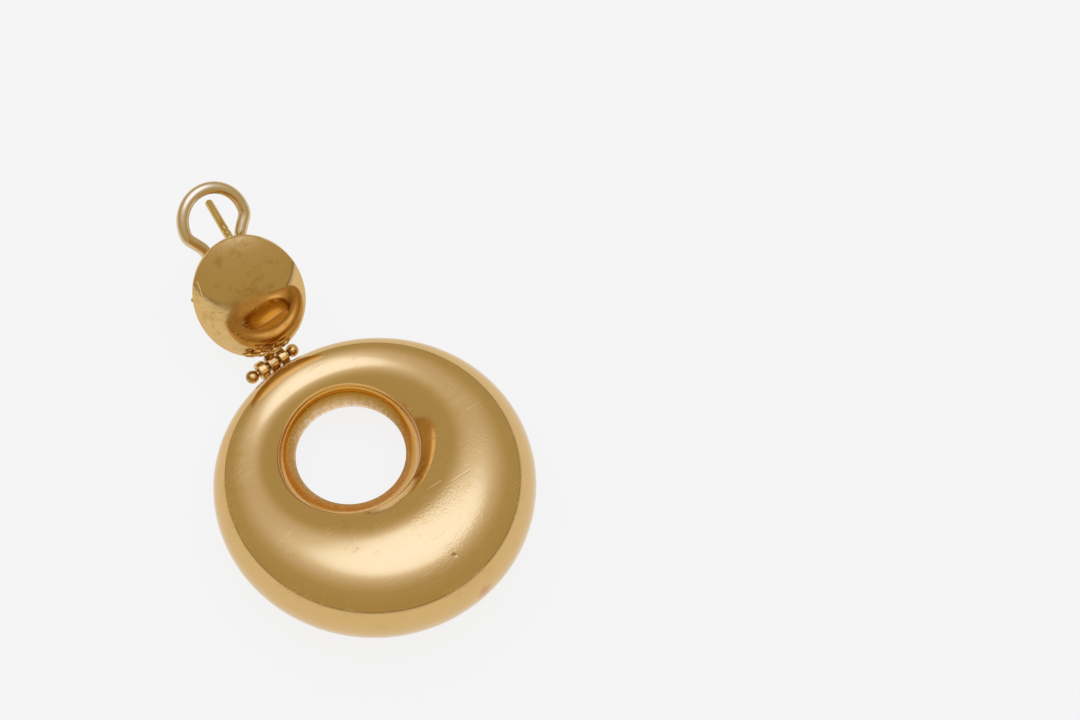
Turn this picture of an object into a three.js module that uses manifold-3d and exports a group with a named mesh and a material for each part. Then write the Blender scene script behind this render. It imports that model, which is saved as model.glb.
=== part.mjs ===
// A hinged drop earring: a puffed hollow ring drop hanging from a domed top with a post and an omega clip.
// Millimetres. The drop lies on its back on z = 0, x runs along the hinge and y from the drop to the hinge.
import * as THREE from "three";
import { mergeVertices } from "three/addons/utils/BufferGeometryUtils.js";
import Module from "manifold-3d";

const DROP_WIDTH = 19; // half the drop's width
const DROP_LENGTH = 19.3; // half its length, a little over the width
const DROP_OFFSET = 0.25; // the outline's centre lies this far towards the hinge
const HOLE_SHIFT = 5.03; // and the hole's centre this far
const WAIST_RADIUS = 6.58;
const RIM_RADIUS = 8.35;
const RIM_HEIGHT = 1.95; // above the mid-plane
const CREST_AT = 0.465; // where the crest lies, as a share of the way from the rim to the edge
const CREST_MIDDLE = 5.86; // half the thickness at the drop's centre
const TAPER = 0.154; // the half thickness lost per mm towards the hinge
const EDGE_POWER = 2.25; // over 2 makes the outer edge fuller than an ellipse
const DISH_POWER = 2.5; // over 2 keeps the crest broad and drops the dish late
const DISH_FOOT = 1.2; // how much the dish eases off again before it meets the rim
const FOOT_SPAN = 0.12; // and over what share of its width
const WALL = 0.6;
const HINGE_REACH = 21.05; // from the drop's centre to the hinge pin
const KNUCKLE_RADIUS = 1.05;
const BORE_RADIUS = 0.68;
const PIN_RADIUS = 0.38;
const BALL_RADIUS = 0.75;
const BALL_AT = 2.97;
const OUTER_KNUCKLE = [0.9, 2.05]; // from and to, on each side of the middle
const MIDDLE_KNUCKLE = 0.6; // half its length
const DOME_WIDE = 6.7; // half the width of the oval dome
const DOME_TALL = 8.75; // and half its height
const DOME_RISE = 1.8;
const DOME_POWER = 2.8; // over 2 makes its face flatter and its edge rounder than an ellipse's cap
const DOME_REACH = 10.05; // from the hinge pin to the dome's centre
const DOME_LIFT = -0.25;
const PLATE_BACK = -0.9;
const DOME_TURNS = [65, -5, -19]; // degrees the dome is tipped up, leaned sideways and turned on its neck
const CLIP_TURNS = [54.55, -8.94, 0]; // and the clip, which stands off the dome's back at its own angle
const CLIP_REACH = 9.41;
const CLIP_LIFT = 0.25;
const WIRE_RADIUS = 0.75;
const LOOP_RADIUS = 3.94;
const LOOP_AT = 9.14; // the loop's centre above the middle of the clip's frame
const CLIP_PIVOT = [-1, -2.6]; // height and depth in the clip's frame
const CLIP_SLOPE = 0.15; // the wire leaves its frame's plane by this much per mm
const POST = [0.79, 3.99, -0.55, -0.95, 7.41, -11.64]; // from the plate to the tip
const POST_RADIUS = 0.5;

const wasm = await Module();
wasm.setup();

function solid(geometry) {
  const bare = geometry.clone();
  bare.deleteAttribute("normal");
  bare.deleteAttribute("uv");
  const merged = mergeVertices(bare, 1e-4);
  return new wasm.Manifold(
    new wasm.Mesh({
      numProp: 3,
      vertProperties: merged.attributes.position.array,
      triVerts: new Uint32Array(merged.index.array),
    }),
  );
}

// A round bar between two points.
function rod(from, to, radius, sides = 20) {
  const a = new THREE.Vector3(...from);
  const b = new THREE.Vector3(...to);
  const bar = new THREE.CylinderGeometry(radius, radius, a.distanceTo(b), sides);
  const along = b.clone().sub(a).normalize();
  bar.applyQuaternion(new THREE.Quaternion().setFromUnitVectors(new THREE.Vector3(0, 1, 0), along));
  bar.translate(...a.add(b).multiplyScalar(0.5).toArray());
  return solid(bar);
}

function ball(at, radius) {
  const sphere = new THREE.SphereGeometry(radius, 12, 9);
  sphere.translate(...at);
  return solid(sphere);
}

function box(size, at) {
  const block = new THREE.BoxGeometry(...size);
  block.translate(...at);
  return solid(block);
}

// The ring's section, from the outer edge over the crest and the rim down to the waist of the hole.
// Each liner point is a radius and a height.
function ringSolid(inset, rim, crest, liner, around, edgeSteps, dishSteps) {
  const half = edgeSteps + dishSteps + liner.length;
  const shift = HOLE_SHIFT - DROP_OFFSET;
  const across = DROP_WIDTH - inset;
  const along = DROP_LENGTH - inset;
  const sectionPoint = (angle, step) => {
    const toward = Math.sin(angle);
    const square = (Math.cos(angle) / across) ** 2 + (toward / along) ** 2;
    const linear = (shift * toward) / along ** 2;
    const edge = (Math.sqrt(linear ** 2 - square * ((shift / along) ** 2 - 1)) - linear) / square;
    const middle = rim[0] + (edge - rim[0]) * CREST_AT;
    const top = crest - TAPER * (HOLE_SHIFT + middle * toward);
    if (step <= edgeSteps) {
      const turn = (step / edgeSteps) * (Math.PI / 2);
      const out = Math.max(Math.cos(turn), 0) ** (2 / EDGE_POWER);
      return [middle + (edge - middle) * out, top * Math.sin(turn)];
    }
    if (step <= edgeSteps + dishSteps) {
      const way = (step - edgeSteps) / dishSteps;
      const eased = DISH_FOOT * (1 - way) * Math.exp((way - 1) / FOOT_SPAN);
      return [middle - (middle - rim[0]) * way, rim[1] + (top - rim[1]) * (1 - way ** DISH_POWER - eased)];
    }
    return liner[step - edgeSteps - dishSteps - 1];
  };
  const ring = new THREE.TorusGeometry(10, 1, 2 * half, around);
  const place = ring.attributes.position;
  for (let j = 0; j <= 2 * half; j++) {
    for (let i = 0; i <= around; i++) {
      const angle = (2 * Math.PI * i) / around;
      const step = j <= half ? j : 2 * half - j;
      const [radius, height] = sectionPoint(angle, step);
      place.setXYZ(
        j * (around + 1) + i,
        radius * Math.cos(angle),
        HOLE_SHIFT + radius * Math.sin(angle),
        j <= half ? height : -height,
      );
    }
  }
  return solid(ring);
}

function makeDrop() {
  const liner = [
    [8.14, 1.42],
    [7.72, 0.86],
    [7.12, 0.38],
    [WAIST_RADIUS, 0],
  ];
  const shell = ringSolid(0, [RIM_RADIUS, RIM_HEIGHT], CREST_MIDDLE, liner, 50, 7, 6);
  const cavityLiner = [
    [RIM_RADIUS + 0.35, 0.7],
    [WAIST_RADIUS + 1.2, 0],
  ];
  const cavityRim = [RIM_RADIUS + 0.9, RIM_HEIGHT - 0.6];
  const cavity = ringSolid(WALL, cavityRim, CREST_MIDDLE - WALL, cavityLiner, 32, 5, 3);
  let drop = shell.subtract(cavity);
  drop = drop.subtract(rod([0, DROP_LENGTH - 2, -1.4], [0, DROP_LENGTH + 1, -1.4], 0.4, 12));
  const [near, far] = OUTER_KNUCKLE;
  for (const side of [-1, 1]) {
    const middle = (side * (near + far)) / 2;
    const foot = box([far - near, 2.1, 1.2], [middle, HINGE_REACH - 1.25, 0]);
    const barrel = rod([side * near, HINGE_REACH, 0], [side * far, HINGE_REACH, 0], KNUCKLE_RADIUS);
    drop = drop.add(foot).add(barrel);
    drop = drop.subtract(rod([side * 0.5, HINGE_REACH, 0], [side * 2.5, HINGE_REACH, 0], BORE_RADIUS));
  }
  return drop;
}

function makeHingePin() {
  return rod([-BALL_AT, HINGE_REACH, 0], [BALL_AT, HINGE_REACH, 0], PIN_RADIUS, 16)
    .add(ball([-BALL_AT, HINGE_REACH, 0], BALL_RADIUS))
    .add(ball([BALL_AT, HINGE_REACH, 0], BALL_RADIUS));
}

// The dome and the clip each have their own x across, y up and z out of the dome's face.
function topFrame(turns, reach, lift) {
  const [tip, lean, turn] = turns.map(THREE.MathUtils.degToRad);
  return new THREE.Matrix4()
    .makeTranslation(0, HINGE_REACH, 0)
    .multiply(new THREE.Matrix4().makeRotationX(tip))
    .multiply(new THREE.Matrix4().makeRotationZ(lean))
    .multiply(new THREE.Matrix4().makeRotationY(turn))
    .multiply(new THREE.Matrix4().makeTranslation(0, reach, lift));
}
const domeFrame = topFrame(DOME_TURNS, DOME_REACH, DOME_LIFT);
const clipFrame = topFrame(CLIP_TURNS, CLIP_REACH, CLIP_LIFT);

// An oval cap over a foot, turned round from (share of the radius, height) points.
function ovalDome(foot, rise, wide, tall, steps, sides) {
  const points = foot.map(([share, height]) => new THREE.Vector2(share, height));
  for (let i = 0; i <= steps; i++) {
    const share = i === steps ? 0 : Math.cos((i / steps) * (Math.PI / 2));
    points.push(new THREE.Vector2(share, rise * (1 - share ** DOME_POWER)));
  }
  const turned = new THREE.LatheGeometry(points, sides);
  turned.rotateX(Math.PI / 2);
  turned.scale(wide, tall, 1);
  return solid(turned);
}

function makeTop() {
  const foot = [
    [0, PLATE_BACK],
    [0.945, PLATE_BACK],
    [0.99, PLATE_BACK + 0.4],
  ];
  let top = ovalDome(foot, DOME_RISE, DOME_WIDE, DOME_TALL, 8, 42);
  const cavity = ovalDome([[0, 0]], DOME_RISE - WALL, DOME_WIDE - 1.2, DOME_TALL - 1.2, 5, 24);
  top = top.subtract(cavity.translate(0, 0, -0.1));
  top = top.subtract(rod([-3.2, -3, -2], [-3.2, -3, 0.3], 0.5, 12));
  top = top.add(rod(POST.slice(0, 3), POST.slice(3), POST_RADIUS, 16));
  const [pivotUp, pivotBack] = CLIP_PIVOT;
  const ontoDome = domeFrame.clone().invert().multiply(clipFrame);
  const deep = 5;
  let lugs = box([0.8, 1.9, deep], [-0.7, pivotUp, pivotBack - 0.8 + deep / 2]);
  lugs = lugs.add(box([0.8, 1.9, deep], [0.7, pivotUp, pivotBack - 0.8 + deep / 2]));
  lugs = lugs.subtract(rod([-2, pivotUp, pivotBack], [2, pivotUp, pivotBack], 0.65));
  top = top.add(lugs.transform(ontoDome.elements).trimByPlane([0, 0, -1], 0.5));
  for (const across of [-2.2, -0.75, 0.75, 2.2]) {
    const down = -8.07 * Math.sqrt(1 - (across / 6.5) ** 2);
    top = top.add(rod([across, down, -0.25], [across, down + 0.15, 0.5], 0.6, 12));
  }
  const neck = new THREE.Shape();
  neck.moveTo(-1.1, -7.9);
  neck.quadraticCurveTo(-0.5, -8.4, -0.27, -9.5);
  neck.lineTo(0.27, -9.5);
  neck.quadraticCurveTo(0.5, -8.4, 1.1, -7.9);
  const plate = new THREE.ExtrudeGeometry(neck, { depth: 0.6, bevelEnabled: false, curveSegments: 4 });
  plate.translate(0, 0, -0.15);
  top = top.add(solid(plate));
  top = top.add(ball([-6.45, 2.1, -0.2], 0.3));
  top = top.transform(domeFrame.elements);
  const reach = HINGE_REACH;
  top = top.add(rod([-MIDDLE_KNUCKLE, reach, 0], [MIDDLE_KNUCKLE, reach, 0], KNUCKLE_RADIUS));
  return top.subtract(rod([-1, reach, 0], [1, reach, 0], BORE_RADIUS));
}

function makeClip() {
  const [pivotUp, pivotBack] = CLIP_PIVOT;
  const path = [];
  const legs = [
    [2.15, 0],
    [2.15, 3.2],
    [2.25, 5.2],
    [2.5, 6.4],
    [3.1, 7.3],
  ];
  legs.forEach(([x, y]) => path.push([-x, y]));
  const open = 1.4; // radians from straight down to where the loop starts
  for (let i = 0; i <= 12; i++) {
    const turn = open + ((2 * Math.PI - 2 * open) * i) / 12;
    path.push([-LOOP_RADIUS * Math.sin(turn), LOOP_AT - LOOP_RADIUS * Math.cos(turn)]);
  }
  legs.reverse().forEach(([x, y]) => path.push([x, y]));
  const away = (y) => pivotBack - CLIP_SLOPE * (y - pivotUp);
  const curve = new THREE.CatmullRomCurve3(path.map(([x, y]) => new THREE.Vector3(x, y, away(y))));
  const round = new THREE.Shape();
  round.absarc(0, 0, WIRE_RADIUS, 0, 2 * Math.PI);
  const wire = new THREE.ExtrudeGeometry(round, {
    steps: 36,
    curveSegments: 6,
    bevelEnabled: false,
    extrudePath: curve,
  });
  let clip = solid(wire);
  for (const side of [-1, 1]) {
    const from = side * 1.45;
    const to = side * 2.85;
    const at = [pivotUp, pivotBack];
    clip = clip.add(rod([side * 2.15, ...at], [side * 2.15, 0.4, away(0.4)], WIRE_RADIUS, 14));
    clip = clip.add(rod([from, ...at], [to, ...at], 1.05));
    clip = clip.subtract(rod([side * 1, ...at], [side * 3, ...at], 0.68));
  }
  return clip.transform(clipFrame.elements);
}

function makeClipPin() {
  const at = CLIP_PIVOT;
  return rod([-3.3, ...at], [3.3, ...at], 0.35, 16)
    .add(rod([-3.6, ...at], [-3.2, ...at], 0.8, 16))
    .add(rod([3.2, ...at], [3.6, ...at], 0.8, 16))
    .transform(clipFrame.elements);
}

const rig = new THREE.Group();
rig.rotation.x = -Math.atan(TAPER);

function addPiece(name, made, colour, roughness) {
  const data = made.getMesh();
  const geometry = new THREE.BufferGeometry();
  geometry.setAttribute("position", new THREE.BufferAttribute(data.vertProperties, 3));
  geometry.setIndex(new THREE.BufferAttribute(data.triVerts, 1));
  const gold = new THREE.MeshStandardMaterial({ color: colour, roughness, metalness: 1 });
  const piece = new THREE.Mesh(geometry, gold);
  piece.name = name;
  rig.add(piece);
}

addPiece("drop", makeDrop(), 0xd4a855, 0.18);
addPiece("hinge_pin", makeHingePin(), 0xc99745, 0.22);
addPiece("top_dome", makeTop(), 0xd4a855, 0.18);
addPiece("omega_clip", makeClip(), 0xd9bf8c, 0.2);
addPiece("omega_pin", makeClipPin(), 0xd0a55c, 0.22);

const earring = new THREE.Group();
earring.add(rig);
earring.updateMatrixWorld(true);
const bounds = new THREE.Box3().setFromObject(earring, true);
rig.position.set(
  -(bounds.min.x + bounds.max.x) / 2,
  -(bounds.min.y + bounds.max.y) / 2,
  -bounds.min.z,
);

export default earring;
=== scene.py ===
import math

import bmesh
import bpy
import numpy as np
from mathutils import Matrix, Vector


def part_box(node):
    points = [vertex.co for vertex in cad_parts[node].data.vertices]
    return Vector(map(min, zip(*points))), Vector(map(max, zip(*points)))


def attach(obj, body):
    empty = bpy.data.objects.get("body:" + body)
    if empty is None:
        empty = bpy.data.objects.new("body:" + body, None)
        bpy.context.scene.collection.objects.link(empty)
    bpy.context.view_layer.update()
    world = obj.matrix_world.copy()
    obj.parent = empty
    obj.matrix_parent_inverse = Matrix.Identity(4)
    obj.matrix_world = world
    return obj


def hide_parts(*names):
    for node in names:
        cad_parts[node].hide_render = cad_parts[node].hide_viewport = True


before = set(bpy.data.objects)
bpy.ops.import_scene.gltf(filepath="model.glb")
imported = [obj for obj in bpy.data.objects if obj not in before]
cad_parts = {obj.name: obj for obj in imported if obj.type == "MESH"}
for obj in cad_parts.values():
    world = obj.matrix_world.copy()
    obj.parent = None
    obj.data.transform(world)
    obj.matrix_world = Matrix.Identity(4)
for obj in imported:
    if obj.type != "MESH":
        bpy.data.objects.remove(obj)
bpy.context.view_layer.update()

# Sizes are in millimetres, in the drop's own frame: x along the hinge, y towards it, z out of the face.
MM = 0.001
POINT = 1e-4  # radii that stand for a closed end
FINE_POINT = 1e-5
MERGE_GAP = 2e-7  # metres
CORNER_SHARE = 0.45  # the most of a side that rounding one corner may take

# The ring's outline is an oval, given by half its width and half its length. It lies a little towards the hinge
# and the hole lies further towards it.
DROP_WIDTH = 19.0
DROP_LENGTH = 19.3
DROP_OFFSET = 0.25
HOLE_SHIFT = 5.03
WAIST_RADIUS = 6.58
AROUND = 384
# The crest, the taper towards the hinge and the rounded outer edge.
CREST_AT = 0.465
CREST_MIDDLE = 5.86
TAPER = 0.154
EDGE_POWER = 2.25
EDGE_STEPS = 44
# The dish: how it would curve down to a level rim, and the limit to its slope, which varies round the ring. The
# limit is steepest one way, eased over one stretch, and higher in the hollow beside the rim over another.
RIM_RADIUS = 8.35
RIM_HEIGHT = 1.95
DISH_POWER = 2.5
DISH_STEPS = 60
DISH_SLOPE = 0.80
DISH_SLOPE_MORE = 0.40
DISH_SLOPE_OVAL = 0.04
DISH_STEEP_TO = math.radians(65)
EASED_SLOPE = 0.15
EASED_AT = math.radians(333)
HOLLOW_SLOPE = 0.30
HOLLOW_AT = math.radians(288)
HOLLOW_REACH = 1.2
LOBE_POWER = 4
LIMIT_POWER = 6
# The rim: its radius about the hole, its groove and its lip as (out, up) steps from it.
RIM_MIDDLE = 8.86
RIM_LEAN = 0.97
RIM_LEANS_TO = math.radians(235)
RIM_OVAL = 0.52
RIM_OVAL_TO = math.radians(61)
GROOVE_OUT = 0.14
DISH_STOPS = 0.05
RIM_DROP = 0.03
LIP = ((0.12, -0.02), (0.09, -0.08), (0.07, -0.06), (0.055, 0.0), (0.03, 0.03), (0.0, 0.03), (-0.02, 0.0))
# The liner flares from the waist (0, 0) to the rim (1, 1).
COVE = ((1, 1), (0.975, 0.8), (0.90, 0.6), (0.70, 0.38), (0.38, 0.18), (0.1, 0.05), (0, 0.02))
COVE_IN = 0.04
COVE_DOWN = 0.05

# The hinge.
HINGE_REACH = 21.05
ON_HINGE = (0, HINGE_REACH, 0)
KNUCKLE_RADIUS = 1.17
BORE_RADIUS = 0.6
KNUCKLE_NEAR = 0.9
KNUCKLE_FAR = 2.05
MIDDLE_KNUCKLE = 0.6
KNUCKLE_SIDES = 48
FOOT_TOP = 0.78
FOOT_TALL = 1.35
FOOT_WIDE = (0.5, 0.34, 2.5)  # half width at the top, what it gains on the way down, and the power it grows by
FOOT_THICK = (0.5, 0.42, 2.2)
FOOT_SQUARED = 0.6
FOOT_SIDES = 28
FOOT_STEPS = 8
PIN_RADIUS = 0.4
BALL_RADIUS = 0.82
BALL_AT = 2.97
BALL_STEPS = 25
BALL_NECK = 0.03

# The top, in its own frame: y down to the hinge is negative, z out of its face.
DOME_WIDE = 6.7
DOME_TALL = 8.75
DOME_RISE = 1.8
DOME_POWER = 3.2
DOME_STEPS = 70
DOME_EDGE = 0.991  # the share of the width at which the curve of the dome gives way to its rounded edge
PLATE_BACK = -0.9
PLATE_THICK = 0.24
DOME_PLACE = ((65, -5, -19), 10.05, -0.25)  # degrees tipped, leaned and turned, reach from the hinge, lift
LEAVES = (  # place across the collar, half length, pull of the tip, lift
    (-2.15, 0.92, -0.25, 0.02),
    (-0.78, 0.78, 0.1, 0.1),
    (0.78, 0.78, -0.1, 0.06),
    (2.15, 0.92, 0.25, 0.0),
)
LEAF_HALF = 0.34
LEAF_POINTED = 0.6
LEAF_WAVES = 6
LEAF_WAVE = 0.10
LEAF_PULL = 0.3
LEAF_TILT = 0.45
LEAF_CURVE = 0.05
LEAF_SECTION = (  # share of the leaf's outline, height
    (POINT, -0.2),
    (0.8, -0.2),
    (0.95, -0.13),
    (1.0, 0.0),
    (0.96, 0.1),
    (0.7, 0.07),
    (0.35, 0.1),
    (0.12, 0.2),
    (POINT, 0.22),
)
COLLAR_WIDE = 6.5
COLLAR_TALL = 8.05
COLLAR_UP = 0.34
NECK_FROM = -9.55
NECK_LONG = 1.75
NECK_WIDE = 0.32
NECK_WIDENS = 0.25
NECK_FAN = 0.85
NECK_FAN_POWER = 1.8
NECK_THICK = 0.3
NECK_UP = 0.15
NECK_HOLLOW = 0.14
NECK_SQUARED = 0.5
NECK_SIDES = 48
NECK_STEPS = 20
NUB_MIDDLE = (-6.42, 2.1, -0.12)
NUB_SIZE = (0.26, 0.3, 0.22)

# The ear post: its two ends, and its worn collar and rounded tip as (distance along it, radius).
POST_FOOT = (0.79, 3.99, -0.55)
POST_TIP = (-0.95, 7.41, -11.64)
POST_RADIUS = 0.5
POST_SIDE = (0.31, 0.17, 0.93)  # its section is turned square to this direction, and the wire's to WIRE_SIDE
POST_SIDES = 32
POST_STATIONS = (
    (-0.21, POINT),
    (-0.2, POST_RADIUS),
    (4.7, POST_RADIUS),
    (4.85, 0.53),
    (5.1, 0.545),
    (5.3, 0.5),
    (5.45, 0.455),
    (5.6, 0.5),
    (6.05, 0.51),
    (6.2, 0.46),
    (6.35, 0.5),
)
POST_END = ((0.32, 0.5), (0.2, 0.485), (0.09, 0.42), (0.02, 0.28), (0.0, POINT))  # distances from the tip
PAD = ((POINT, -1.22), (0.55, -1.2), (0.8, -1.08), (1.0, -0.92), (1.0, -0.8), (POINT, -0.8))
PAD_SHIFT = (-0.06, 0.13)

# The omega clip, in its own frame: y up the wire, z out of the top's face. Its pin lies along x.
CLIP_PLACE = ((54.55, -8.94, 0), 9.41, 0.25)
WIRE_RADIUS = 0.75
WIRE_SIDE = (0.13, 0.27, 0.95)
WIRE_SIDES = 32
WIRE_STEPS = 7
LEG = ((2.15, 0.0), (2.15, 3.2), (2.25, 5.2), (2.5, 6.4), (3.1, 7.3))
LOOP_RADIUS = 3.94
LOOP_AT = 9.14
LOOP_GAP = 1.4  # half the angle that the loop leaves open, in radians
LOOP_STEPS = 12
WIRE_FROM = 0.35
PIVOT_UP = -1.0
PIVOT_BACK = -2.6
CLIP_SLOPE = 0.15
EYE_RADIUS = 1.05
EYE_NEAR = 1.45
EYE_FAR = 2.85
LUG_AT = 0.7
LUG_RADIUS = 0.95
LUG_SECTION = ((-0.4, 0.1), (-0.37, 0.03), (-0.3, 0.0), (0.3, 0.0), (0.37, 0.03), (0.4, 0.1))  # across, inset
LUG_BACK = 0.15
LUG_FOOT = -0.5
LUG_STEPS = 24
RIVET = ((POINT, -3.6), (0.5, -3.59), (0.7, -3.52), (0.8, -3.42), (0.8, -3.28), (0.74, -3.2), (0.36, -3.19))

# Vents: where each hole starts and ends, and its radius.
DROP_VENT = ((0, 17.6, -1.4), (0, 20.3, -1.4), 0.4)
PLATE_VENT = ((-3.2, -3, -2), (-3.2, -3, 0), 0.5)
VENT_SIDES = 28

# The drop's frame hangs on the middle of the CAD hinge pin, and the dome's and the clip's on the drop's.
pin_low, pin_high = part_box("hinge_pin")
hinge = (pin_low + pin_high) / 2
drop_frame = (
    Matrix.Translation(hinge)
    @ Matrix.Rotation(-math.atan(TAPER), 4, "X")
    @ Matrix.Scale(MM, 4)
    @ Matrix.Translation((0, -HINGE_REACH, 0))
)


def top_frame(turns, reach, lift):
    made = drop_frame @ Matrix.Translation(ON_HINGE)
    for turn, axis in zip(turns, "XZY"):
        made = made @ Matrix.Rotation(math.radians(turn), 4, axis)
    return made @ Matrix.Translation((0, reach, lift))


dome_frame = top_frame(*DOME_PLACE)
clip_frame = top_frame(*CLIP_PLACE)
clip_on_dome = dome_frame.inverted() @ clip_frame


# ---------------------------------------------------------------- mesh building
def add_object(name, data):
    made = bpy.data.objects.new(name, data)
    bpy.context.scene.collection.objects.link(made)
    return made


def piece(name, parts, place, body, materials, replaced=(), sharp=38):
    """One object from (vertices, faces) parts, given in the frame that place stands for.

    A part may add each face's material index. Edges that turn more than sharp degrees stay crisp.
    """
    points, faces, indices = [], [], []
    for verts, part_faces, *kinds in parts:
        start = len(points)
        points.extend(place @ Vector(v) for v in verts)
        faces.extend([start + i for i in face] for face in part_faces)
        indices.extend(kinds[0] if kinds else [0] * len(part_faces))
    mesh = bpy.data.meshes.new(name)
    mesh.from_pydata([tuple(p) for p in points], [], faces)
    for material in materials:
        mesh.materials.append(material)
    mesh.polygons.foreach_set("material_index", indices)
    work = bmesh.new()
    work.from_mesh(mesh)
    bmesh.ops.remove_doubles(work, verts=work.verts, dist=MERGE_GAP)
    bmesh.ops.recalc_face_normals(work, faces=work.faces)
    for face in work.faces:
        face.smooth = True
    for edge in work.edges:
        if len(edge.link_faces) == 2 and edge.calc_face_angle(0) > math.radians(sharp):
            edge.smooth = False
    work.to_mesh(mesh)
    work.free()
    made = add_object(name, mesh)
    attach(made, body)
    if replaced:
        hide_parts(*replaced)
    return made


def circle(count):
    return np.linspace(0, 2 * math.pi, count, endpoint=False)


def grid(points, wrap_rows=False):
    """Quads over rows of points that each run round a closed section."""
    rows, columns = points.shape[:2]
    faces = []
    for r in range(rows if wrap_rows else rows - 1):
        for c in range(columns):
            r2, c2 = (r + 1) % rows, (c + 1) % columns
            faces.append((r * columns + c, r * columns + c2, r2 * columns + c2, r2 * columns + c))
    return points.reshape(-1, 3).tolist(), faces


def capped(rows):
    """A bar over rows of points, with a flat face at each end."""
    verts, faces = grid(np.array(rows))
    count = len(rows[0])
    return verts, faces + [list(range(count)), [len(verts) - count + i for i in range(count)]]


def lathe(profile, sides, axis="Z", at=(0, 0, 0)):
    """A turned solid. The profile's (radius, height) points run round its section."""
    turn = circle(sides)
    rows = []
    for radius, height in profile:
        rows.append(np.stack([radius * np.cos(turn), radius * np.sin(turn), np.full(sides, float(height))], -1))
    points = np.array(rows)
    if axis == "X":
        points = points[..., [2, 0, 1]]
    return grid(points + np.array(at), wrap_rows=True)


def fillet(corners, radius, steps, closed=False):
    """The polyline with each corner rounded off."""
    corners = [np.array(c, float) for c in corners]
    out = []
    for i, here in enumerate(corners):
        if not closed and i in (0, len(corners) - 1):
            out.append(tuple(here))
            continue
        a, b = corners[i - 1] - here, corners[(i + 1) % len(corners)] - here
        la, lb = np.linalg.norm(a), np.linalg.norm(b)
        reach = min(radius, la * CORNER_SHARE, lb * CORNER_SHARE)
        start, end = here + a / la * reach, here + b / lb * reach
        for t in (k / steps for k in range(steps + 1)):
            out.append(tuple((1 - t) ** 2 * start + 2 * t * (1 - t) * here + t**2 * end))
    return out


def sleeve(start, end, radius, rounding, steps, sides, at):
    """A bored barrel along x, with rounded edges."""
    corners = [(BORE_RADIUS, start), (radius, start), (radius, end), (BORE_RADIUS, end)]
    return lathe(fillet(corners, rounding, steps, closed=True), sides, "X", at)


def squared(turn, wide, tall, power):
    """The two coordinates of an oval section, squared off more the smaller the power is."""
    cosine, sine = np.cos(turn), np.sin(turn)
    return wide * np.sign(cosine) * np.abs(cosine) ** power, tall * np.sign(sine) * np.abs(sine) ** power


def sweep(path, radius, sides, start_side):
    """A round bar along a path, with flat ends. Its section starts square to start_side."""
    path = np.array(path, float)
    tangents = np.gradient(path, axis=0)
    tangents /= np.linalg.norm(tangents, axis=1)[:, None]
    side = np.cross(tangents[0], start_side)
    side /= np.linalg.norm(side)
    turn = circle(sides)
    rows = []
    for centre, tangent in zip(path, tangents):
        side = side - tangent * side.dot(tangent)
        side /= np.linalg.norm(side)
        other = np.cross(tangent, side)
        rows.append(centre + radius * np.cos(turn)[:, None] * side + radius * np.sin(turn)[:, None] * other)
    return capped(rows)


def blend(near, far, at, low, high):
    """The point on the line that passes near at low and far at high."""
    return (high - at) / (high - low) * near + (at - low) / (high - low) * far


def smooth_route(points, steps):
    """A centripetal Catmull-Rom curve through the points."""
    pts = [np.array(p, float) for p in points]
    pts = [2 * pts[0] - pts[1]] + pts + [2 * pts[-1] - pts[-2]]
    out = []
    for i in range(1, len(pts) - 2):
        p = pts[i - 1 : i + 3]
        t = [0.0]
        for j in range(3):
            t.append(t[-1] + math.sqrt(np.linalg.norm(p[j + 1] - p[j])))
        for s in np.linspace(t[1], t[2], steps, endpoint=False):
            a = [blend(p[j], p[j + 1], s, t[j], t[j + 1]) for j in range(3)]
            b = [blend(a[j], a[j + 1], s, t[j], t[j + 2]) for j in range(2)]
            out.append(blend(b[0], b[1], s, t[1], t[2]))
    out.append(pts[-2])
    return out


def drill(target, place, start, end, radius):
    """Cuts a round hole from start to end, given in the frame that place stands for."""
    start, end = place @ Vector(start), place @ Vector(end)
    direction = end - start
    cutter_mesh = bpy.data.meshes.new("cutter")
    work = bmesh.new()
    radius = radius * MM
    bmesh.ops.create_cone(
        work, cap_ends=True, segments=VENT_SIDES, radius1=radius, radius2=radius, depth=direction.length
    )
    work.to_mesh(cutter_mesh)
    work.free()
    cutter = add_object("cutter", cutter_mesh)
    turned = direction.to_track_quat("Z", "Y").to_matrix().to_4x4()
    cutter.matrix_world = Matrix.Translation((start + end) / 2) @ turned
    cut = target.modifiers.new("vent", "BOOLEAN")
    cut.object = cutter
    cut.operation = "DIFFERENCE"
    cut.solver = "EXACT"
    bpy.context.view_layer.update()
    evaluated = target.evaluated_get(bpy.context.evaluated_depsgraph_get())
    made = bpy.data.meshes.new_from_object(evaluated)
    target.modifiers.clear()
    target.data = made
    bpy.data.objects.remove(cutter)


# ---------------------------------------------------------------- materials
GOLD = (0.69, 0.453, 0.18)
FITTING_GOLD = (0.67, 0.42, 0.14)
PALE_GOLD = (0.70, 0.53, 0.31)
POST_GOLD = (0.63, 0.44, 0.15)
# A deeper orange painted just inside the hole's rim: painted reflection of light bounced between the gold walls.
LINER_TOP_PAINTED_REFLECTION = (0.62, 0.33, 0.06)
LINER_DARK = (0.63, 0.38, 0.13)
LINER_PALE = (0.76, 0.55, 0.33)
BROWN = (0.62, 0.38, 0.11)
DARK_BROWN = (0.55, 0.33, 0.09)
SOLDER_BROWN = (0.34, 0.17, 0.05)
REDDISH = (0.60, 0.26, 0.12)
PIT_BROWN = (0.5, 0.27, 0.12)

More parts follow.
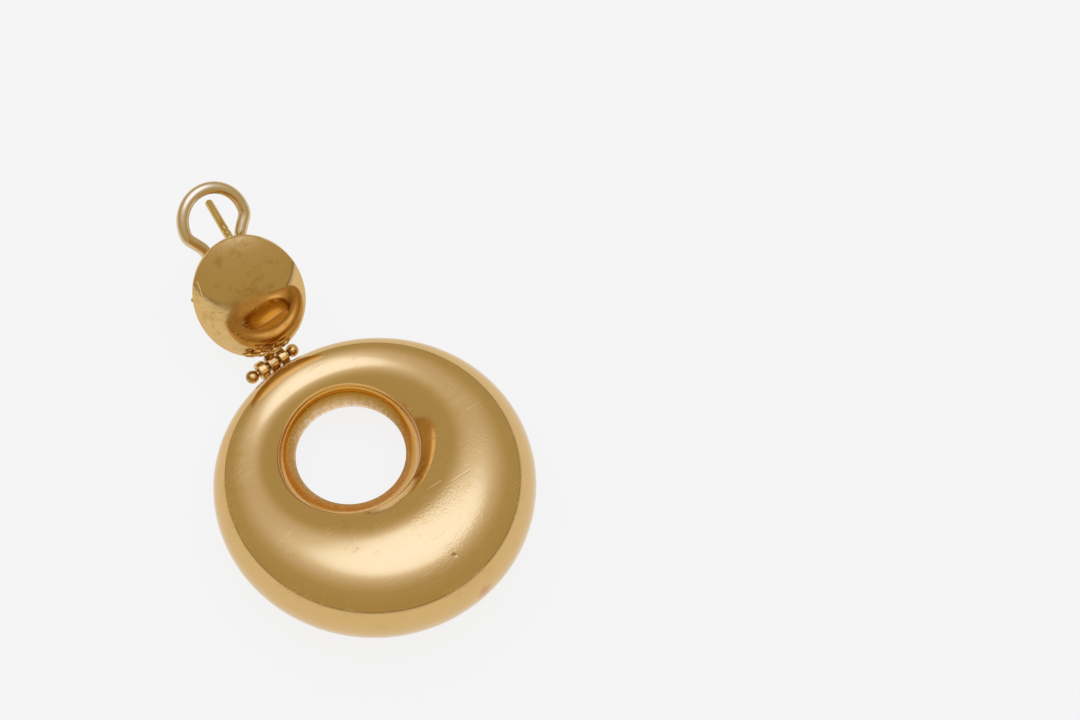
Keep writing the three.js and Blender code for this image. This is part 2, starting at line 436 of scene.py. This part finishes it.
# Noise scales are per metre, and bump heights are in millimetres.
HAIRLINES = (((0.3, 0.5, 0.4), 900), ((1.1, 0.2, 2.0), 1300), ((0.2, 1.3, 3.9), 1000))  # turn, scale
HAIRLINE_STRETCH = (0.06, 1.0, 1.0)
HAIRLINE_WIDTH = 0.012
HAIRLINE_DEPTH = 0.003
HAIRLINE_ROUGHNESS = 0.35
HAIRLINE_KEPT = (0.52, 0.64)
HAZE_SCALE = 210
HAZE_FROM_TO = (0.42, 0.72)
GRAIN_SCALE = 2600
GRAIN_DEPTH = 0.0004
WORN_SCALE = 3200
WORN_DEPTH = 0.026
WORN_CORE = 0.2
WAVE_SCALE = 130
EDGE_LUMPS = 0.9  # how coarse the lumps of a stain's edge are, against its radius
LINE_CORE = 0.25
# The liner: its noise, and the heights above the middle plane over which it turns from brushed to polished and to a
# deeper orange, which is painted reflection.
CLOUD_SCALE = 420
CLOUD_REACH = 0.9
POLISH_AND_PAINTED_REFLECTION_FROM = 0.5
POLISH_AND_PAINTED_REFLECTION_TO = 1.5
STREAK_SCALE = 2600
STREAK_SQUEEZE = (1.0, 1.0, 0.22)
STREAKS_PALE = (0.40, 0.70)
STREAK_DEPTH = 0.04
BRUSHED_ROUGHNESS = 0.38
POLISHED_ROUGHNESS = 0.12


class Nodes:
    """Adds nodes to a tree. An input is linked where it is given a socket, and set where it is given a value."""

    def __init__(self, owner):
        owner.use_nodes = True
        self.tree = owner.node_tree
        self.named = owner.node_tree.nodes

    def put(self, value, socket):
        if isinstance(value, bpy.types.NodeSocket):
            self.tree.links.new(value, socket)
        else:
            socket.default_value = value

    def add(self, kind, inputs=None, **settings):
        made = self.named.new("ShaderNode" + kind)
        for key, value in settings.items():
            setattr(made, key, value)
        for key, value in (inputs or {}).items():
            self.put(value, made.inputs[key])
        return made

    def position(self):
        return self.add("TexCoord").outputs["Object"]

    def maths(self, operation, a, b=0.0):
        return self.add("Math", {0: a, 1: b}, operation=operation).outputs[0]

    def vector(self, operation, a, b):
        return self.add("VectorMath", {0: a, 1: b}, operation=operation)

    def noise(self, where, scale, detail=3.0, rough=0.55, distortion=0.0):
        inputs = {"Vector": where, "Scale": scale, "Detail": detail, "Roughness": rough, "Distortion": distortion}
        return self.add("TexNoise", inputs).outputs["Fac"]

    def ramp(self, value, low, high, start=0.0, end=1.0):
        """Goes smoothly from start to end as the value goes from low to high."""
        inputs = {"Value": value, "From Min": low, "From Max": high, "To Min": start, "To Max": end}
        return self.add("MapRange", inputs, interpolation_type="SMOOTHSTEP").outputs["Result"]

    def mix(self, amount, a, b):
        return self.add("Mix", {"Factor": amount, "A": a, "B": b}, data_type="RGBA").outputs["Result"]


def metal(name):
    """A new metal material, its nodes and its shader."""
    made = bpy.data.materials.new(name)
    nodes = Nodes(made)
    shader = nodes.named["Principled BSDF"]
    shader.inputs["Metallic"].default_value = 1.0
    return made, nodes, shader


def gold(name, base, roughness, haze, scratch, wave=0.0, tarnish=None, worn=(), marks=(), spots=(), place=None):
    """Polished metal with haze, hairline scratches and tarnish from noise, and a few placed marks.

    tarnish: colour, where its noise starts and is full, and its scale. worn: (centre, radius, strength) of finely
    scratched patches; marks: (from, to, width, depth) of scratches and pits; spots: (centre, radius, colour,
    strength) of stains. Points are millimetres in the frame place.
    """
    made, nodes, shader = metal(name)
    shader.inputs["Base Color"].default_value = (*base, 1)
    shader.inputs["Roughness"].default_value = roughness
    where = nodes.position()

    def spread(centre, radius, inner=0.0):
        """1 at a placed point, fading to 0 at the radius, with a ragged edge."""
        radius = radius * MM
        gap = nodes.vector("DISTANCE", where, place @ Vector(centre)).outputs["Value"]
        lumps = nodes.maths("SUBTRACT", nodes.noise(where, EDGE_LUMPS / radius), 0.5)
        ragged = nodes.maths("ADD", gap, nodes.maths("MULTIPLY", lumps, radius))
        return nodes.ramp(ragged, inner * radius, radius, 1.0, 0.0)

    def stroke(start, end, width):
        """1 along a placed line, falling to 0 at its width."""
        start, end = place @ Vector(start), place @ Vector(end)
        away = nodes.vector("SUBTRACT", where, start).outputs[0]
        along = nodes.vector("DOT_PRODUCT", away, (end - start) / (end - start).length_squared).outputs["Value"]
        held = nodes.add("Clamp", {"Value": along}).outputs[0]
        foot = nodes.add("VectorMath", {0: end - start, "Scale": held}, operation="SCALE").outputs[0]
        gap = nodes.vector("DISTANCE", away, foot).outputs["Value"]
        return nodes.ramp(gap, LINE_CORE * width * MM, width * MM, 1.0, 0.0)

    # Hairlines: noise stretched thin one way, kept only along its crests, in a few directions.
    lines = 0.0
    for turn, scale in HAIRLINES:
        inputs = {"Vector": where, "Rotation": turn, "Scale": HAIRLINE_STRETCH}
        streak = nodes.noise(nodes.add("Mapping", inputs).outputs["Vector"], scale, 2.0, 0.5, 0.15)
        crest = nodes.maths("ABSOLUTE", nodes.maths("SUBTRACT", streak, 0.5))
        kept = nodes.ramp(nodes.noise(where, 160 + scale * 0.1, 2.0), *HAIRLINE_KEPT)
        thin = nodes.maths("MULTIPLY", nodes.ramp(crest, 0.0, HAIRLINE_WIDTH, 1.0, 0.0), kept)
        lines = nodes.maths("MAXIMUM", lines, thin)
    cloud = nodes.ramp(nodes.noise(where, HAZE_SCALE, 4.0, 0.6), *HAZE_FROM_TO)
    rough = nodes.maths("ADD", nodes.maths("MULTIPLY", cloud, haze), roughness)
    rough = nodes.maths("ADD", rough, nodes.maths("MULTIPLY", lines, scratch * HAIRLINE_ROUGHNESS))
    nodes.put(rough, shader.inputs["Roughness"])

    height = nodes.maths("MULTIPLY", nodes.noise(where, GRAIN_SCALE, 3.0, 0.6), GRAIN_DEPTH)
    height = nodes.maths("SUBTRACT", height, nodes.maths("MULTIPLY", lines, HAIRLINE_DEPTH * scratch))
    if wave:
        height = nodes.maths("ADD", height, nodes.maths("MULTIPLY", nodes.noise(where, WAVE_SCALE, 2.0, 0.4), wave))
    for centre, radius, strength in worn:
        grain = nodes.maths("MULTIPLY", nodes.noise(where, WORN_SCALE, 2.0, 0.7), WORN_DEPTH * strength)
        height = nodes.maths("ADD", height, nodes.maths("MULTIPLY", grain, spread(centre, radius, WORN_CORE)))
    for start, end, width, depth in marks:
        height = nodes.maths("SUBTRACT", height, nodes.maths("MULTIPLY", stroke(start, end, width), depth))
    bump = nodes.add("Bump", {"Height": height, "Strength": 1.0, "Distance": MM})
    nodes.put(bump.outputs["Normal"], shader.inputs["Normal"])

    shade = (*base, 1)
    if tarnish:
        colour, low, high, scale = tarnish
        shade = nodes.mix(nodes.ramp(nodes.noise(where, scale, 5.0, 0.65), low, high), shade, (*colour, 1))
    for centre, radius, colour, strength in spots:
        shade = nodes.mix(nodes.maths("MULTIPLY", spread(centre, radius), strength), shade, (*colour, 1))
    nodes.put(shade, shader.inputs["Base Color"])
    return made


def liner_gold(name):
    """The hole's wall: polished just inside the rim, where its deeper orange is a painted reflection, brushed and
    paler towards the waist.
    """
    made, nodes, shader = metal(name)
    where = nodes.position()
    middle = drop_frame @ Vector((0, HOLE_SHIFT, 0))
    out = (drop_frame.to_3x3() @ Vector((0, 0, 1))).normalized()
    away = nodes.vector("SUBTRACT", where, middle).outputs[0]
    level = nodes.maths("ABSOLUTE", nodes.vector("DOT_PRODUCT", away, out).outputs["Value"])
    cloud = nodes.noise(where, CLOUD_SCALE, 4.0, 0.65)
    ragged = nodes.add("Math", {0: cloud, 1: CLOUD_REACH * MM, 2: level}, operation="MULTIPLY_ADD").outputs[0]
    polish_and_painted_reflection = nodes.ramp(ragged, POLISH_AND_PAINTED_REFLECTION_FROM * MM, POLISH_AND_PAINTED_REFLECTION_TO * MM)
    squeezed = nodes.add("Mapping", {"Vector": away, "Scale": STREAK_SQUEEZE}).outputs[0]
    streaks = nodes.noise(squeezed, STREAK_SCALE, 5.0, 0.7)
    worn = nodes.mix(nodes.ramp(streaks, *STREAKS_PALE), (*LINER_DARK, 1), (*LINER_PALE, 1))
    # Just inside the rim the liner is polished and painted a deeper orange, a painted reflection of the gold around
    # it.
    nodes.put(nodes.mix(polish_and_painted_reflection, worn, (*LINER_TOP_PAINTED_REFLECTION, 1)), shader.inputs["Base Color"])
    rough = nodes.add("MapRange", {"Value": polish_and_painted_reflection, "To Min": BRUSHED_ROUGHNESS, "To Max": POLISHED_ROUGHNESS})
    nodes.put(rough.outputs["Result"], shader.inputs["Roughness"])
    bump = nodes.add("Bump", {"Height": streaks, "Strength": 0.5, "Distance": STREAK_DEPTH * MM})
    nodes.put(bump.outputs["Normal"], shader.inputs["Normal"])
    return made


polished = gold(
    "polished_gold",
    GOLD,
    0.05,
    haze=0.07,
    scratch=1.0,
    wave=0.03,
    tarnish=(BROWN, 0.60, 0.80, 330),
    worn=[((2.2, -10.5, 7.3), 6.0, 1.4), ((0.0, -15.0, 6.3), 4.0, 1.0), ((11.0, -6.0, 6.0), 4.0, 0.8)],
    marks=[
        ((-0.22, -15.33, 6.32), (-0.02, -15.5, 6.25), 0.28, 0.05),
        ((2.49, -7.21, 6.82), (4.3, -7.3, 7.0), 0.11, 0.02),
        ((5.2, -8.3, 7.25), (7.72, -8.39, 7.12), 0.1, 0.014),
        ((8.2, 5.6, 2.48), (8.4, 3.85, 3.11), 0.16, 0.06),
    ],
    spots=[((1.25, -18.96, 0.23), 1.6, REDDISH, 0.75), ((-0.12, -15.4, 6.3), 0.5, PIT_BROWN, 0.8)],
    place=drop_frame,
)
dome_gold = gold(
    "dome_gold",
    GOLD,
    0.055,
    haze=0.10,
    scratch=1.0,
    wave=0.02,
    tarnish=(DARK_BROWN, 0.50, 0.72, 420),
    worn=[((-1.4, 2.7, 1.7), 4.5, 0.6), ((-4.0, -1.5, 1.2), 2.0, 0.25)],
    marks=[
        ((-5.3, 4.45, 0.3), (-5.32, 2.89, 0.75), 0.2, 0.05),
        ((-5.0, -0.44, 0.99), (-5.15, -1.9, 0.9), 0.12, 0.03),
        ((-5.15, -1.9, 0.8), (-4.7, -2.9, 1.0), 0.12, 0.03),
        ((-5.4, 0.21, 0.8), (-4.5, 0.5, 1.25), 0.12, 0.025),
        ((-4.5, 0.5, 1.15), (-3.65, 0.24, 1.5), 0.12, 0.025),
    ],
    place=dome_frame,
)
liner = liner_gold("brushed_liner_painted_reflection")
fitting = gold(
    "fitting_gold", FITTING_GOLD, 0.11, haze=0.16, scratch=0.5, wave=0.006, tarnish=(SOLDER_BROWN, 0.48, 0.66, 700)
)
pale = gold("pale_gold", PALE_GOLD, 0.10, haze=0.08, scratch=0.5)
post_gold = gold("post_gold", POST_GOLD, 0.16, haze=0.12, scratch=0.6)


# ---------------------------------------------------------------- the drop
angle = circle(AROUND)
toward = np.sin(angle)
shift = HOLE_SHIFT - DROP_OFFSET
square = (np.cos(angle) / DROP_WIDTH) ** 2 + (toward / DROP_LENGTH) ** 2
linear = shift * toward / DROP_LENGTH**2
edge = (np.sqrt(linear**2 - square * ((shift / DROP_LENGTH) ** 2 - 1)) - linear) / square
# The dish's slope has a limit that varies round the ring, so the rim stands highest on the deep side.
rim_at = RIM_MIDDLE + RIM_LEAN * np.cos(angle - RIM_LEANS_TO) + RIM_OVAL * np.cos(2 * (angle - RIM_OVAL_TO))
crest_at = RIM_RADIUS + (edge - RIM_RADIUS) * CREST_AT
crest = CREST_MIDDLE - TAPER * (HOLE_SHIFT + crest_at * toward)
steepest = DISH_SLOPE + DISH_SLOPE_MORE * np.cos(angle - DISH_STEEP_TO)
steepest += DISH_SLOPE_OVAL * np.cos(2 * (angle - DISH_STEEP_TO))
steepest -= EASED_SLOPE * np.maximum(np.cos(angle - EASED_AT), 0) ** LOBE_POWER
hollow = HOLLOW_SLOPE * np.maximum(np.cos(angle - HOLLOW_AT), 0) ** LOBE_POWER
full_slope = DISH_POWER * (crest - RIM_HEIGHT) / (crest_at - RIM_RADIUS)

half = []  # (radius, height, material) rows from the outer edge to the waist
for step in range(EDGE_STEPS + 1):
    turn = step / EDGE_STEPS * math.pi / 2
    out = max(math.cos(turn), 0) ** (2 / EDGE_POWER)
    half.append((crest_at + (edge - crest_at) * out, crest * math.sin(turn), 0))
inward = (crest_at - (rim_at + GROOVE_OUT) - DISH_STOPS) / DISH_STEPS
dish = crest
for step in range(1, DISH_STEPS + 1):
    slope = full_slope * ((step - 0.5) * inward / (crest_at - RIM_RADIUS)) ** (DISH_POWER - 1)
    limit = steepest + hollow * np.exp(-(((DISH_STEPS - step) * inward / HOLLOW_REACH) ** 4))
    dish = dish - inward * (slope**-LIMIT_POWER + limit**-LIMIT_POWER) ** (-1 / LIMIT_POWER)
    half.append((crest_at - step * inward, dish, 0))
rim_up = dish - RIM_DROP
# A thin raised lip runs round the rim, with a fine groove outside it.
for out, up in LIP:
    half.append((rim_at + out, rim_up + up, 0))
for out, up in fillet(COVE, 0.2, 5):
    half.append((WAIST_RADIUS + (rim_at - COVE_IN - WAIST_RADIUS) * out, (rim_up - COVE_DOWN) * up, 1))

section = half + [(r, -z, kind) for r, z, kind in reversed(half[1:])]
rows = np.array([np.stack([r * np.cos(angle), HOLE_SHIFT + r * np.sin(angle), z], -1) for r, z, _ in section])
kinds = [kind for _, _, kind in section]
row_kinds = [near and far for near, far in zip(kinds, kinds[1:] + kinds[:1])]
verts, faces = grid(rows, wrap_rows=True)
drop = piece(
    "drop_shell",
    [(verts, faces, np.repeat(row_kinds, AROUND).tolist())],
    drop_frame,
    "drop",
    [polished, liner],
    ["drop"],
    sharp=50,
)

# Hinge barrels on the drop, each on a foot that flares into the ring's edge.
barrels = []
for side in (-1, 1):
    near, far = side * KNUCKLE_NEAR, side * KNUCKLE_FAR
    barrels.append(sleeve(near, far, KNUCKLE_RADIUS, 0.3, 5, KNUCKLE_SIDES, ON_HINGE))
    rows = []
    for way in (k / FOOT_STEPS for k in range(FOOT_STEPS + 1)):
        wide, thick = (least + more * way**power for least, more, power in (FOOT_WIDE, FOOT_THICK))
        x, z = squared(circle(FOOT_SIDES), wide, thick, FOOT_SQUARED)
        y = np.full(FOOT_SIDES, HINGE_REACH - FOOT_TOP - FOOT_TALL * way)
        rows.append(np.stack([side * (KNUCKLE_NEAR + KNUCKLE_FAR) / 2 + x, y, z], -1))
    barrels.append(capped(rows))
piece("drop_knuckles", barrels, drop_frame, "drop", [fitting])

# The hinge pin: a rod with a ball at each end.
rod = [(FINE_POINT, -BALL_AT - BALL_RADIUS)]
for turn in (math.pi * k / BALL_STEPS for k in range(1, BALL_STEPS)):
    radius = BALL_RADIUS * math.sin(turn)
    if turn > math.pi / 2 and radius < PIN_RADIUS:
        break
    rod.append((radius, -BALL_AT - BALL_RADIUS * math.cos(turn)))
rod += [(PIN_RADIUS, rod[-1][1] + BALL_NECK)]
rod += [(radius, -x) for radius, x in reversed(rod)]
piece(
    "hinge_pin_balls",
    [lathe(rod, 40, "X", ON_HINGE)],
    drop_frame,
    "drop",
    [fitting],
    ["hinge_pin"],
)


# ---------------------------------------------------------------- the top
def oval(profile, sides):
    """A turned solid squeezed to the dome's oval. The profile's radii are measured across its width."""
    verts, faces = lathe(profile, sides)
    return [(x, y * DOME_TALL / DOME_WIDE, z) for x, y, z in verts], faces


cap = [(FINE_POINT, PLATE_BACK + 0.05), (DOME_WIDE - 0.55, PLATE_BACK + 0.05)]
cap += fillet(
    [
        (DOME_WIDE - 0.5, PLATE_BACK + 0.12),
        (DOME_WIDE - 0.12, PLATE_BACK + 0.3),
        (DOME_WIDE - 0.03, -0.14),
        (DOME_WIDE * DOME_EDGE, DOME_RISE * (1 - DOME_EDGE**DOME_POWER)),
    ],
    0.14,
    4,
)
for step in range(1, DOME_STEPS + 1):
    share = DOME_EDGE * math.cos(step / DOME_STEPS * math.pi / 2)
    cap.append((max(DOME_WIDE * share, FINE_POINT), DOME_RISE * (1 - share**DOME_POWER)))
piece("dome_shell", [oval(cap, 224)], dome_frame, "top", [dome_gold], ["top_dome"])

plate_edge = [
    (0.5, PLATE_BACK),
    (DOME_WIDE - 0.42, PLATE_BACK),
    (DOME_WIDE - 0.36, PLATE_BACK + 0.2),
    (0.5, PLATE_BACK + PLATE_THICK),
]
plate = [(FINE_POINT, PLATE_BACK), *fillet(plate_edge, 0.07, 3), (FINE_POINT, PLATE_BACK + PLATE_THICK)]
back_plate = piece("back_plate", [oval(plate, 128)], dome_frame, "top", [dome_gold])

# A collar of little pointed leaves lapped over the dome's lower rim, each with a raised midrib.
leaves = []
turn = circle(40)
for across, long, tip, lift in LEAVES:
    level = math.sqrt(1 - (across / COLLAR_WIDE) ** 2)
    down = -COLLAR_TALL * level
    lean = math.atan2(across * COLLAR_TALL / COLLAR_WIDE**2, level)
    rim_x = long * np.cos(turn) + tip * LEAF_PULL * (1 - np.abs(np.sin(turn)))
    rim_y = LEAF_HALF * np.sin(turn) * np.abs(np.sin(turn)) ** LEAF_POINTED
    rim_y *= 1 + LEAF_WAVE * np.cos(LEAF_WAVES * turn)
    rows = []
    for share, height in LEAF_SECTION:
        x, y = rim_x * share, rim_y * share
        z = height + COLLAR_UP + lift - LEAF_TILT * y - LEAF_CURVE * x**2
        flat_x = across + x * math.cos(lean) - y * math.sin(lean)
        flat_y = down + x * math.sin(lean) + y * math.cos(lean)
        rows.append(np.column_stack([flat_x, flat_y, z]))
    leaves.append(grid(np.array(rows)))
piece("petal_collar", leaves, dome_frame, "top", [fitting], sharp=50)

# The neck fans out from the middle knuckle to the collar, hollowed along its face.
turn = circle(NECK_SIDES)
rows = []
for way in (k / NECK_STEPS for k in range(NECK_STEPS + 1)):
    wide = NECK_WIDE + NECK_WIDENS * way + NECK_FAN * way**NECK_FAN_POWER
    x, z = squared(turn, wide, NECK_THICK, NECK_SQUARED)
    z = NECK_UP + z
    z = z - NECK_HOLLOW * (np.sin(turn) > 0) * np.sin(turn) * np.cos(x / wide * math.pi / 2) * way
    rows.append(np.stack([x, np.full(NECK_SIDES, NECK_FROM + way * NECK_LONG), z], -1))
piece("neck", [capped(rows)], dome_frame, "top", [fitting])
middle = sleeve(-MIDDLE_KNUCKLE, MIDDLE_KNUCKLE, KNUCKLE_RADIUS, 0.2, 4, KNUCKLE_SIDES, ON_HINGE)
piece("middle_knuckle", [middle], drop_frame, "top", [fitting])

# A tiny nub of solder stands on the dome's rim.
lat = np.linspace(-math.pi / 2, math.pi / 2, 13)[:, None]
turn = circle(24)
nub = np.stack(
    [
        NUB_MIDDLE[0] + NUB_SIZE[0] * np.cos(lat) * np.cos(turn),
        NUB_MIDDLE[1] + NUB_SIZE[1] * np.cos(lat) * np.sin(turn),
        NUB_MIDDLE[2] + NUB_SIZE[2] * np.sin(lat) + 0 * turn,
    ],
    -1,
)
piece("solder_nub", [grid(nub)], dome_frame, "top", [dome_gold])

# The ear post, with its solder pad and a worn collar part of the way up.
post_foot, post_tip = np.array(POST_FOOT), np.array(POST_TIP)
length = np.linalg.norm(post_tip - post_foot)
along = (post_tip - post_foot) / length
stations = [*POST_STATIONS, *((length - back, radius) for back, radius in POST_END)]
side = np.cross(along, POST_SIDE)
side /= np.linalg.norm(side)
other = np.cross(along, side)
turn = circle(POST_SIDES)
section = np.cos(turn)[:, None] * side + np.sin(turn)[:, None] * other
post = grid(np.array([post_foot + along * s + r * section for s, r in stations]))
pad = lathe(PAD, 40, "Z", (post_foot[0] + PAD_SHIFT[0], post_foot[1] + PAD_SHIFT[1], 0))
piece("ear_post", [post, pad], dome_frame, "top", [post_gold], sharp=60)

# Two lugs on the plate carry the clip's pin. They run along the clip's own axes down into the plate.
plate_up = clip_on_dome.inverted().to_3x3() @ Vector((0, 0, 1))
plate_spot = clip_on_dome.inverted() @ Vector((0, 0, LUG_FOOT))
lugs = []
for side in (-1, 1):
    rows = []
    for x, inset in LUG_SECTION:
        across = side * LUG_AT + x
        radius = LUG_RADIUS - inset
        outline = []
        for turn in (math.pi * k / LUG_STEPS for k in range(LUG_STEPS + 1)):
            outline.append((PIVOT_UP + radius * math.cos(turn), PIVOT_BACK + LUG_BACK - radius * math.sin(turn)))
        for up in (PIVOT_UP - LUG_RADIUS + inset, PIVOT_UP + LUG_RADIUS - inset):
            outline.append((up, plate_up.dot(plate_spot - Vector((across, up, 0))) / plate_up.z))
        rows.append([(across, up, deep) for up, deep in outline])
    lugs.append(capped(rows))
piece("clip_lugs", lugs, clip_frame, "top", [fitting])


# ---------------------------------------------------------------- the omega clip
def wire_point(x, y):
    """A point in the clip's plane, which slopes away from the plate."""
    return np.array([x, y, PIVOT_BACK - CLIP_SLOPE * (y - PIVOT_UP)])


route = [(-x, y) for x, y in LEG]
for step in range(LOOP_STEPS + 1):
    turn = LOOP_GAP + (2 * math.pi - 2 * LOOP_GAP) * step / LOOP_STEPS
    route.append((-LOOP_RADIUS * math.sin(turn), LOOP_AT - LOOP_RADIUS * math.cos(turn)))
route += reversed(LEG)
path = smooth_route([wire_point(x, y) for x, y in route], WIRE_STEPS)
first, last = (wire_point(end[0], PIVOT_UP + WIRE_FROM) for end in (path[0], path[-1]))
clip_parts = [sweep([first, *path, last], WIRE_RADIUS, WIRE_SIDES, WIRE_SIDE)]
for side in (-1, 1):
    clip_parts.append(sleeve(side * EYE_NEAR, side * EYE_FAR, EYE_RADIUS, 0.14, 4, 44, (0, PIVOT_UP, PIVOT_BACK)))
piece("omega_wire", clip_parts, clip_frame, "clip", [pale], ["omega_clip"])

rivet = lathe([*RIVET, *((r, -x) for r, x in reversed(RIVET))], 36, "X", (0, PIVOT_UP, PIVOT_BACK))
piece("omega_rivet", [rivet], clip_frame, "top", [fitting], ["omega_pin"])

# The vents that let air out of the hollow drop and the hollow top.
drill(drop, drop_frame, *DROP_VENT)
drill(back_plate, dome_frame, *PLATE_VENT)


# ---------------------------------------------------------------- floor, light and camera
FLOOR_RADIUS = 3.0  # metres, as are the distances that the table's light falls off over
FLOOR_SIDES = 96
FLOOR_LEVEL = -0.00002
FLOOR_NEAR = 0.13
FLOOR_FAR = 0.40
FLOOR_GLOW = 0.868
FLOOR_FAR_GLOW = 0.55
FLOOR_TINT = (0.985, 0.982, 0.98, 1)
FLOOR_PAINT = (0.07, 0.068, 0.06, 1)
# The walls are dimmer below the horizon, which is blurred between two heights.
HORIZON = 0.5
HORIZON_FROM = 0.01
HORIZON_TO = 0.03
# The light is brightest round this direction and falls away to the walls: (degrees from it, colour).
LIGHT_AXIS = (0.1014, 0.1556, 0.9826)
LIGHT_PEAK = 4.0
LIGHT_FALL = (
    (0, (1.56, 1.84, 3.1)),
    (22, (1.46, 1.72, 2.8)),
    (27, (1.30, 1.52, 2.3)),
    (33, (0.97, 1.02, 1.27)),
    (40, (0.785, 0.775, 0.84)),
    (50, (0.65, 0.605, 0.51)),
    (60, (0.565, 0.51, 0.36)),
    (90, (0.53, 0.463, 0.29)),
)
CAMERA_LENS = 76.67
CAMERA_SENSOR = 36.0
CAMERA_NEAR = 0.01
CAMERA_RIGHT = (0.776758, -0.621973, 0.098980)
CAMERA_BACK = (-0.311361, -0.242631, 0.918795)
CAMERA_AIM = (0.0252968, -0.0201943, 0.007)  # its y is measured from the hinge
CAMERA_AWAY = 0.2794257


def floor_material():
    """A pale table, evenly bright around the earring and dimmer far away."""
    made = bpy.data.materials.new("pale_table")
    nodes = Nodes(made)
    nodes.named.remove(nodes.named["Principled BSDF"])
    away = nodes.add("VectorMath", {0: nodes.position()}, operation="LENGTH").outputs["Value"]
    fall = nodes.ramp(away, FLOOR_NEAR, FLOOR_FAR, FLOOR_GLOW, FLOOR_FAR_GLOW)
    glow = nodes.add("Emission", {"Color": FLOOR_TINT, "Strength": fall})
    paint = nodes.add("BsdfDiffuse", {"Color": FLOOR_PAINT})
    both = nodes.add("AddShader", {0: glow.outputs[0], 1: paint.outputs[0]})
    nodes.put(both.outputs[0], nodes.named["Material Output"].inputs["Surface"])
    return made


edge_points = [(FLOOR_RADIUS * math.cos(t), FLOOR_RADIUS * math.sin(t), FLOOR_LEVEL) for t in circle(FLOOR_SIDES)]
table = bpy.data.meshes.new("table")
table.from_pydata(edge_points, [], [list(range(FLOOR_SIDES))])
table.materials.append(floor_material())
floor = add_object("table", table)

# The studio: a broad soft light overhead, fading into dim walls.
world = bpy.data.worlds.new("studio")
bpy.context.scene.world = world
studio = Nodes(world)
ray = studio.add("TexCoord").outputs["Generated"]
facing = studio.vector("DOT_PRODUCT", ray, LIGHT_AXIS).outputs["Value"]
fall = studio.add("ValToRGB", {"Fac": studio.maths("DIVIDE", studio.maths("ARCCOSINE", facing), math.pi / 2)})
stops = fall.color_ramp.elements
for step, (degrees, colour) in enumerate(LIGHT_FALL):
    stop = stops[step] if step < 2 else stops.new(degrees / 90)
    stop.position = degrees / 90
    stop.color = (*(c / LIGHT_PEAK for c in colour), 1)
dim = studio.ramp(studio.add("SeparateXYZ", {0: ray}).outputs["Z"], HORIZON_FROM, HORIZON_TO, HORIZON, 1.0)
lit = studio.add("VectorMath", {0: fall.outputs["Color"], "Scale": dim}, operation="SCALE")
studio.put(LIGHT_PEAK, studio.named["Background"].inputs["Strength"])
studio.put(lit.outputs[0], studio.named["Background"].inputs["Color"])

# The camera looks down on the table with the earring at the left of the frame.
camera_data = bpy.data.cameras.new("camera")
camera_data.lens = CAMERA_LENS
camera_data.sensor_width = CAMERA_SENSOR
camera_data.clip_start = CAMERA_NEAR
camera = add_object("camera", camera_data)
back = Vector(CAMERA_BACK).normalized()
up = back.cross(Vector(CAMERA_RIGHT)).normalized()
right = up.cross(back).normalized()
aim = Vector((CAMERA_AIM[0], hinge.y + CAMERA_AIM[1], CAMERA_AIM[2]))
eye = aim + back * CAMERA_AWAY
camera.matrix_world = Matrix.Translation(eye) @ Matrix((right, up, back)).transposed().to_4x4()
bpy.context.scene.camera = camera
bpy.context.scene.view_settings.view_transform = "Standard"
bpy.context.scene.view_settings.look = "None"
